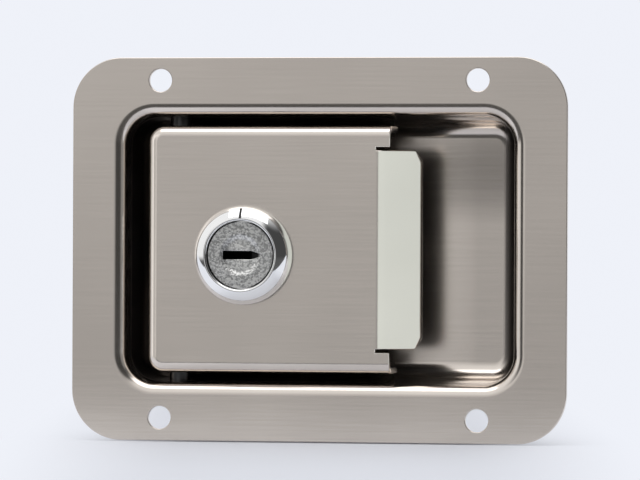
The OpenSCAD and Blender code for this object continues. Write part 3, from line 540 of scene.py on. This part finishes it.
spring_path = SPRING_R * spring_out + np.stack([spring_x, 0 * spring_x, 0 * spring_x + SPRING_AXIS_Z], -1)
spring = made("bolt_coil", "pan", spring_steel, *wire(spring_path, spring_out, (1, 0, 0), SPRING_WIRE))
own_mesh(spring)
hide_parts("bolt_spring")


# The lock body is a zinc casting with a chromed, domed bezel on the paddle's face. Behind it is a barrel with two
# flats and a cut thread, on which the nut clamps the lock, and a lug on its end that stops the key's turn.
BEZEL_R, BEZEL_TOP, BEZEL_FOOT, RIM_R, COUNTERBORE_R = 11.9, 6.5, 2.2, 0.5, 8.2
BORE_R, SHOULDER, BARREL_END, SHOULDER_POWER, CREST_TILT = 6.38, 2.8, -9.5, 2.5, np.radians(24)
THREAD_PITCH, THREAD_DEPTH, THREAD_TOP, THREAD_LEAD, THREAD_ROWS = 1.0, 0.32, -0.2, 0.5, 76
LUG_IN, LUG_END, LUG_HALF_TURN, LUG_ROOT = 7.2, -10.5, np.radians(10), 0.1
TICK_HALF, TICK_IN, TICK_OUT = 0.3, 8.8, 11.2
JOIN, TURN_STEPS = 0.02, 128


def chrome(tree):
    """Bright chrome over zinc: an even mirror with the faintest haze, and one dark tick stamped at the top."""
    haze = grained(tree, (160, 160, 160), 2.0)
    across, _, up = axes(tree)
    beside = tree.maths("ABSOLUTE", across - LOCK_X / 1000)
    tick = tree.maths("LESS_THAN", beside, TICK_HALF / 1000)
    tick = tick * tree.maths("GREATER_THAN", up, (LOCK_Y + TICK_IN) / 1000)
    tick = tick * tree.maths("LESS_THAN", up, (LOCK_Y + TICK_OUT) / 1000)
    return {
        "Base Color": tick.mix(haze.mix(grey(0.86), grey(0.92)), grey(0.03)),
        "Roughness": 0.05 + haze * 0.06 + tick * 0.3,
    }


def outline(corners, radii, steps=6):
    """A section's open line with its corners rounded: at each a curve from one side to the next, (1-t) squared times
    its start, plus 2t(1-t) times the corner, plus t squared times its end, with normals on its right hand."""
    corners = np.asarray(corners, float)
    corner = corners[1:-1]
    reach = np.broadcast_to(radii, len(corner))[:, None]
    start = corner + reach * unit(corners[:-2] - corner)
    end = corner + reach * unit(corners[2:] - corner)
    t = np.linspace(0, 1, steps)[:, None]
    curve = (1 - t) ** 2 * start[:, None] + 2 * t * (1 - t) * corner[:, None] + t ** 2 * end[:, None]
    slope = (1 - t) * (corner - start)[:, None] + t * (end - corner)[:, None]
    curve, slope = curve.reshape(-1, 2), slope.reshape(-1, 2)
    curve = np.concatenate([corners[:1], curve, corners[-1:]])
    slope = np.concatenate([corners[1:2] - corners[:1], slope, corners[-1:] - corners[-2:-1]])
    return curve, unit(np.stack([slope[:, 1], -slope[:, 0]], -1))


def turned(line, steps):
    """A line turned about the z axis: its radius times the cosine and the sine of the turn, and its height."""
    turn = 2 * np.pi * np.arange(steps + 1) / steps
    ring = np.stack([np.cos(turn), np.sin(turn)], -1)
    return [
        np.concatenate([part[:, None, :1] * ring, np.broadcast_to(part[:, None, 1:], (len(part), steps + 1, 1))], -1)
        for part in line]


# The dome's height falls outward by a share of a cone, which gives the slope at its crest, and for the rest as
# (1 - u^n)^(1/n), where u goes from 0 at the crest to 1 at the foot.
dome_turn, rim_turn = np.linspace(0, np.pi / 2, 24), np.linspace(np.pi / 2 - CREST_TILT, np.pi, 14)
rim_out = np.stack([np.cos(rim_turn), np.sin(rim_turn)], -1)
rim_line = (COUNTERBORE_R + RIM_R, BEZEL_TOP - RIM_R) + RIM_R * rim_out
crest_r, crest_z = rim_line[0]
dome = np.array([BEZEL_R - crest_r, crest_z - BEZEL_FOOT])
cone = np.tan(CREST_TILT) * dome[0] / dome[1]
dome_out = np.clip(np.stack([np.cos(dome_turn), np.sin(dome_turn)], -1), 0, 1)
dome_line, dome_tilt = dome_out ** (2 / SHOULDER_POWER), dome_out ** (2 - 2 / SHOULDER_POWER)
dome_line[:, 1] = (1 - cone) * dome_line[:, 1] + cone * (1 - dome_line[:, 0])
dome_tilt[:, 0] = (1 - cone) * dome_tilt[:, 0] + cone * dome_tilt[:, 1]
inner_line = outline(
    [(COUNTERBORE_R, BEZEL_TOP - RIM_R), (COUNTERBORE_R, SHOULDER), (BORE_R, SHOULDER), (BORE_R, BARREL_END),
     (BARREL_R, BARREL_END), (BARREL_R, FACE), (BEZEL_R, FACE), (BEZEL_R, BEZEL_FOOT)],
    [0.1, 0.1, 0.2, 0.4, 0.05, 0.12])
bezel_line = (
    np.concatenate([inner_line[0], (crest_r, BEZEL_FOOT) + dome * dome_line, rim_line]),
    np.concatenate([inner_line[1], unit(dome_tilt / dome), rim_out]))
thread_z = np.linspace(BARREL_END + THREAD_LEAD, THREAD_TOP, THREAD_ROWS)
thread_line = (np.column_stack([0 * thread_z + BARREL_R, thread_z]), np.tile((1.0, 0.0), (len(thread_z), 1)))
barrel_row = np.argmax((inner_line[0][:, 0] > BARREL_R - JOIN / 2) & (inner_line[0][:, 1] >= 0))
bezel_line = tuple(np.insert(part, barrel_row, thread, axis=0) for part, thread in zip(bezel_line, thread_line))
body_points, body_normals = turned(bezel_line, TURN_STEPS)
# The thread: the radius less the depth times half of 1 less the cosine of the height in pitches less the turn. It
# runs out over a pitch at both ends.
threaded = slice(barrel_row, barrel_row + THREAD_ROWS)
wave = 2 * np.pi * (thread_z[:, None] / THREAD_PITCH - np.arange(TURN_STEPS + 1) / TURN_STEPS)
run_out = np.minimum(thread_z - thread_z[0], THREAD_TOP - thread_z) / THREAD_PITCH
groove = THREAD_DEPTH * np.clip(run_out, 0, 1)[:, None]
body_points[threaded, :, :2] *= (1 - groove * (1 - np.cos(wave)) / 2 / BARREL_R)[..., None]
body_normals[threaded, :, 2] = groove * np.pi / THREAD_PITCH * np.sin(wave)
on_barrel = bezel_line[0][:, :1] <= BARREL_R + 0.06
on_flat = on_barrel & (body_points[..., 2] <= FACE) & (np.abs(body_points[..., 1]) > BARREL_FLATS)
body_normals[on_flat & (np.abs(body_normals[..., 2]) < 0.8)] *= (0, 1, 0)
body_points[..., 1] = np.where(on_flat, np.sign(body_points[..., 1]) * BARREL_FLATS, body_points[..., 1])
body_points += (LOCK_X, LOCK_Y, 0)
lock_axis = np.array([LOCK_X, LOCK_Y])
lug_turn = np.pi + np.linspace(-LUG_HALF_TURN, LUG_HALF_TURN, 9)
lug_arc = np.stack([np.cos(lug_turn), np.sin(lug_turn)], -1)
lug_foot = plate([lock_axis + np.concatenate([BARREL_R * lug_arc, LUG_IN * lug_arc[::-1]])], BARREL_END + LUG_ROOT)
stop_lug = pressed([lug_foot], BARREL_END + LUG_ROOT - LUG_END, JOIN, 0.15)
chromed = finish("bright_chrome", chrome)
lock_body = made("lock_bezel", "paddle", chromed, grid(body_points, body_normals), stop_lug)
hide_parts("lock_body")


# The lock plug turns in the bezel: a matt cast face with a dished middle and the keyway cut through it.
# Behind the face are its stem in the bore, a solid root and a square tail for the cam.
PLUG_R, PLUG_FACE, PLUG_THICK, PLUG_BODY_R = 7.9, 5.9, 3, 6.3
# The last radius is that of the bright patch painted round the keyway as a highlight.
DISH_R, DISH_SLOPE, DISH, KEY_HIGHLIGHT_R = 4.4, 0.75, 0.5, 4.2
KEY_LEFT, KEY_RIGHT, KEY_HALF, RAMP_END, RAMP_TIP, RAMP_DEPTH = -4.3, 2.5, 1, 5.1, 0.25, 1.2
KEY_END, PLUG_END, TAIL_END, TAIL_HALF, KEY_RIM = -8.4, -9.6, -12.5, 3.5, 0.5
FACE_EDGE, BACK_EDGE, FRONT_BAND, STEM_EDGE, RAMP_THICK = 0.18, 0.1, 0.2, 0.05, 0.8
# Depths below the dish, in mm, where the painted shade in the keyway begins and where it is full.
KEYWAY_SHADE_FROM, KEYWAY_SHADE_FULL = 0.05, 0.5


def matt_zinc(tree):
    """Cast zinc under matt nickel: a grained, slightly pitted grey, with a painted highlight as a bright patch in the
    dish round the keyway, and painted shade in the keyway."""
    pits = grained(tree, (2100, 2100, 2100), 2.0)
    pits = stepped(tree, pits, 0.38, 0.62)
    cloud = grained(tree, (260, 260, 260), 3.0)
    across, deep, up = axes(tree)
    across, up = across - LOCK_X / 1000, up - LOCK_Y / 1000
    # Painted highlight: a bright, pitted patch round the keyway stands in for the dish's reflections.
    key_highlight = stepped(tree, across * across + up * up, KEY_HIGHLIGHT_R ** 2 / 1e6, 0.0) * (0.4 + pits * 0.6)
    # Painted shade: everything deeper than the dish, the keyway's walls and the plug behind its face, is made near
    # black.
    keyway_shade = stepped(tree, deep, *((DISH + below - PLUG_FACE) / 1000 for below in (KEYWAY_SHADE_FROM, KEYWAY_SHADE_FULL)))
    metal = (pits * 0.7 + cloud * 0.3).mix(grey(0.32), (0.90, 0.90, 0.88, 1))
    return {
        "Base Color": keyway_shade.mix(key_highlight.mix(metal, (0.96, 0.96, 0.93, 1)), grey(0.03)),
        "Roughness": 0.30 + pits * 0.15 + keyway_shade * 0.2,
        "Normal": bumped(tree, pits + cloud, 0.6, 0.00008),
    }


nickel = finish("matt_zinc", matt_zinc)
keyway = lock_axis + [(KEY_LEFT, -KEY_HALF), (KEY_RIGHT, -KEY_HALF), (KEY_RIGHT, KEY_HALF), (KEY_LEFT, KEY_HALF)]
keyhole = np.insert(keyway, 2, lock_axis + [(RAMP_END, -RAMP_TIP), (RAMP_END, RAMP_TIP)], axis=0)
dish_rings = np.concatenate([circle(0, 0, DISH_R + part * DISH_SLOPE, 64) for part in np.linspace(-1, 1, 9)])
clear = (np.abs(dish_rings[:, 1]) > KEY_HALF + KEY_RIM) | (dish_rings[:, 0] < KEY_LEFT - KEY_RIM)
face_plate = plate([circle(LOCK_X, LOCK_Y, PLUG_R, 96), keyhole], PLUG_FACE, lock_axis + dish_rings[clear])
disc_points, disc_normals, disc_faces = pressed([face_plate], PLUG_THICK, FACE_EDGE, BACK_EDGE)
from_axis = disc_points[:, :2] - lock_axis
rise = np.clip((np.linalg.norm(from_axis, axis=1) - DISH_R + DISH_SLOPE) / (2 * DISH_SLOPE), 0, 1)
in_front = disc_points[:, 2] > PLUG_FACE - FRONT_BAND
disc_points[:, 2] -= in_front * DISH * (1 - rise * rise * (3 - 2 * rise))
dish_tilt = in_front * DISH * 6 * rise * (1 - rise) / (2 * DISH_SLOPE)
disc_normals[:, :2] -= (dish_tilt * disc_normals[:, 2])[:, None] * unit(from_axis)
plug_face = (disc_points, disc_normals, disc_faces)
ramp_points = np.array([
    [(KEY_RIGHT, -KEY_HALF, -RAMP_DEPTH), (KEY_RIGHT, KEY_HALF, -RAMP_DEPTH)],
    [(RAMP_END, -RAMP_TIP, 0), (RAMP_END, RAMP_TIP, 0)],
]) + (LOCK_X, LOCK_Y, PLUG_FACE - DISH)
ramp_normals = np.broadcast_to(unit(np.array([-RAMP_DEPTH, 0, RAMP_END - KEY_RIGHT])), ramp_points.shape)
plug_ramp = pressed([grid(ramp_points, ramp_normals)], RAMP_THICK, JOIN, JOIN, steps=2)
plug_stem = pressed([plate([circle(LOCK_X, LOCK_Y, PLUG_BODY_R, 64), keyway], PLUG_FACE - PLUG_THICK)],
                    PLUG_FACE - PLUG_THICK - KEY_END, STEM_EDGE, STEM_EDGE)
plug_root = pressed([plate([circle(LOCK_X, LOCK_Y, PLUG_BODY_R, 64)], KEY_END - JOIN)],
                    KEY_END - PLUG_END, STEM_EDGE, 0.2)
tail_square = lock_axis + TAIL_HALF * np.array([(-1, -1), (1, -1), (1, 1), (-1, 1)])
plug_tail = pressed([plate([tail_square], PLUG_END + JOIN)], PLUG_END - TAIL_END, 0.1, 0.3)
plug = made("lock_plug_face", "plug", nickel, plug_face, plug_ramp, plug_stem, plug_root, plug_tail)
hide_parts("lock_plug")


# Five brass wafers lie in the plug, a thin hexagon nut clamps the lock to the paddle, and the plug's tail carries
# the stop washer, the cam, a toothed washer and their screw.
def stamped_brass(tree):
    """Stamped brass: a warm yellow, a little tarnished."""
    tarnish = grained(tree, (300, 300, 300), 3.0)
    return {
        "Base Color": tarnish.mix((0.62, 0.46, 0.20, 1), (0.82, 0.66, 0.34, 1)),
        "Roughness": 0.25 + tarnish * 0.15,
    }


brass = finish("wafer_brass", stamped_brass)
for number in range(1, 6):
    eased(f"wafer_{number}", brass, 0.08)
eased("lock_nut", zinc)
eased("stop_washer", zinc, 0.1)
eased("lock_cam", zinc, 0.2)
eased("cam_washer", spring_steel, 0.06)
eased("cam_screw", zinc, 0.15)


# The cam keeper is a folded stainless strip, riveted to the pan's floor. The locked cam turns under it, so that the
# paddle can't be pulled.
eased("cam_keeper", stainless)
eased("keeper_rivets", bright_steel)


# The studio: a pale sheet runs under the lock and up behind it, and a soft box hangs close above. Three cards light
# one piece each: two the paddle, for its tab and its edges, and one the pan's wall.
BACKDROP = (0.862, 0.884, 0.945)
FLOOR_Z, SWEEP_START, SWEEP_R, SWEEP_TOP, SWEEP_HALF, SWEEP_FRONT = -0.0462, 1.7, 0.9, 3.0, 4.0, -0.11
FRONT_FALL, VIEW_SLANT = 0.0045, 0.176
FADE_BACK, FADE_ASIDE = (0.05, 0.9), (0.03, 0.078)
SHEET_COLOUR = (0.765, 0.785, 0.845)


def pale_sheet():
    """The sheet's material: a pale matt surface, which camera, glossy and transmission rays see more and more as a
    plain pale colour as it runs away from the lock, so that the background is even and the shadow stays."""
    material = bpy.data.materials.new("pale_sheet")
    material.use_nodes = True
    tree = material.node_tree
    tree.nodes.remove(tree.nodes["Principled BSDF"])
    shade = Shade(tree)
    across, deep, _ = axes(shade)
    beside = shade.maths("ABSOLUTE", across + deep * VIEW_SLANT)
    near = (1 - stepped(shade, deep, *FADE_BACK)) * (1 - stepped(shade, beside, *FADE_ASIDE))
    far = 1 - near
    seen = [shade.node("ShaderNodeLightPath", out=word)
            for word in ("Is Camera Ray", "Is Glossy Ray", "Is Transmission Ray")]
    seen = shade.maths("MINIMUM", seen[0] + seen[1] + seen[2], 1.0)
    matt = shade.node("ShaderNodeBsdfDiffuse", None, {"Color": tint(SHEET_COLOUR)})
    plain = shade.node("ShaderNodeEmission", None, {"Color": tint(BACKDROP), "Strength": 1.0})
    both = shade.node("ShaderNodeMixShader", None, {0: far * seen, 1: matt, 2: plain})
    tree.links.new(both.socket, tree.nodes["Material Output"].inputs["Surface"])
    return material


sweep_turn = np.linspace(0, np.pi / 2, 24)
sweep_y = np.concatenate([[SWEEP_FRONT, 0, 1], SWEEP_START + SWEEP_R * np.sin(sweep_turn), [SWEEP_START + SWEEP_R]])
sweep_z = np.concatenate([
    [FLOOR_Z - FRONT_FALL, FLOOR_Z, FLOOR_Z], FLOOR_Z + SWEEP_R * (1 - np.cos(sweep_turn)), [SWEEP_TOP]])
sheet_points = np.stack(np.broadcast_arrays(
    np.array([-SWEEP_HALF, SWEEP_HALF])[None], sweep_y[:, None], sweep_z[:, None]), -1)
sheet_mesh = bpy.data.meshes.new("pale_floor")
sheet_vertices, _, sheet_faces = grid(sheet_points, sheet_points)
sheet_mesh.from_pydata(sheet_vertices.tolist(), [], sheet_faces[:, ::-1].tolist())
sheet_mesh.shade_smooth()
sheet_mesh.materials.append(pale_sheet())
floor = bpy.data.objects.new("pale_floor", sheet_mesh)
bpy.context.scene.collection.objects.link(floor)


# The room is what the metal mirrors: a grey wall in front, bright to the left and above, dark to the right. The
# camera itself sees it plain and pale.
DARK_SIDE, ABOVE, BELOW = (0.15, 0.45), (0.05, 0.6), (-0.01, -0.13)
world = bpy.data.worlds.new("room")
world.use_nodes = True
bpy.context.scene.world = world
room = Shade(world.node_tree)
right, back, up = axes(room, "Generated")
azimuth = room.maths("ARCTAN2", right, 0 - back) * (0.5 / np.pi) + 0.5
around = room.node("ShaderNodeValToRGB", {"stops": [
    (0.00, grey(0.85)),
    (0.20, grey(0.95)),
    (0.340, grey(0.90)),
    (0.362, grey(0.03)),
    (0.412, grey(0.05)),
    (0.430, grey(0.83)),
    (0.500, grey(0.47)),
    (0.510, grey(0.40)),
    (0.530, grey(0.06)),
    (0.765, grey(0.06)),
    (0.850, grey(0.70)),
    (1.00, grey(0.85)),
]}, {0: azimuth})
dark_side = stepped(room, right, *DARK_SIDE)
above = stepped(room, up - dark_side * 0.5, *ABOVE)
below = stepped(room, up, *BELOW)
sky = above.mix(around, grey(0.95))
sky = below.mix(sky, grey(0.1))
sky = room.node("ShaderNodeLightPath", out="Is Camera Ray").mix(sky, tint(BACKDROP))
world.node_tree.links.new(sky.socket, world.node_tree.nodes["Background"].inputs["Color"])


def soft_box(name, place, target, width, height, radiance, colour=(1, 1, 1), only=None):
    """A square lamp of even radiance: its power is the radiance times its area times pi. It may light one piece
    only."""
    lamp = bpy.data.lights.new(name, "AREA")
    lamp.shape, lamp.size, lamp.size_y, lamp.color = "RECTANGLE", width, height, colour
    lamp.energy = radiance * width * height * np.pi
    box = bpy.data.objects.new(name, lamp)
    box.location = place
    box.rotation_euler = (Vector(target) - Vector(place)).to_track_quat("-Z", "Y").to_euler()
    box.visible_camera = False
    bpy.context.scene.collection.objects.link(box)
    if only:
        lit = bpy.data.collections.new(name)
        lit.objects.link(only)
        box.light_linking.receiver_collection = lit


soft_box("soft_box_above", (0, -0.12, 0.42), (0, -0.02, 0), 0.46, 0.34, 1.35)
soft_box("card_right", (0.2116, -0.2434, 0), (0.018, 0, 0), 0.38, 0.40, 0.92, (0.90, 1.0, 0.99), paddle)
soft_box("card_left", (-0.26, -0.22, 0), (-0.04, 0, 0), 0.22, 0.40, 0.55, only=paddle)
soft_box("card_side", (0.30, -0.11, 0), (-0.05, 0, 0), 0.20, 0.40, 0.22, only=pan)

# The camera stands a little to the right at the lock's own height, far enough off for a nearly flat view, and is
# rolled by a quarter of a degree.
VIEW_AZIMUTH, VIEW_DISTANCE, VIEW_SCALE, VIEW_ROLL = np.radians(10), 1.15, 4180, np.radians(0.25)
AIM_RIGHT, AIM_UP = 0.0003, 0.0023
PICTURE_WIDTH, SENSOR = 640, 36
camera = bpy.data.objects.new("camera", bpy.data.cameras.new("camera"))
camera.data.sensor_width = SENSOR
camera.data.lens = VIEW_SCALE * VIEW_DISTANCE * SENSOR / PICTURE_WIDTH
camera.data.clip_end = 20
toward = Vector((np.sin(VIEW_AZIMUTH), -np.cos(VIEW_AZIMUTH), 0))
aside = Vector((np.cos(VIEW_AZIMUTH), np.sin(VIEW_AZIMUTH), 0))
aim = AIM_RIGHT * aside + Vector((0, 0, AIM_UP))
turn_to = (-toward).to_track_quat("-Z", "Y").to_matrix().to_4x4() @ Matrix.Rotation(VIEW_ROLL, 4, "Z")
camera.matrix_world = Matrix.Translation(aim + VIEW_DISTANCE * toward) @ turn_to
bpy.context.scene.collection.objects.link(camera)
bpy.context.scene.camera = camera
bpy.context.scene.view_settings.view_transform = "Standard"
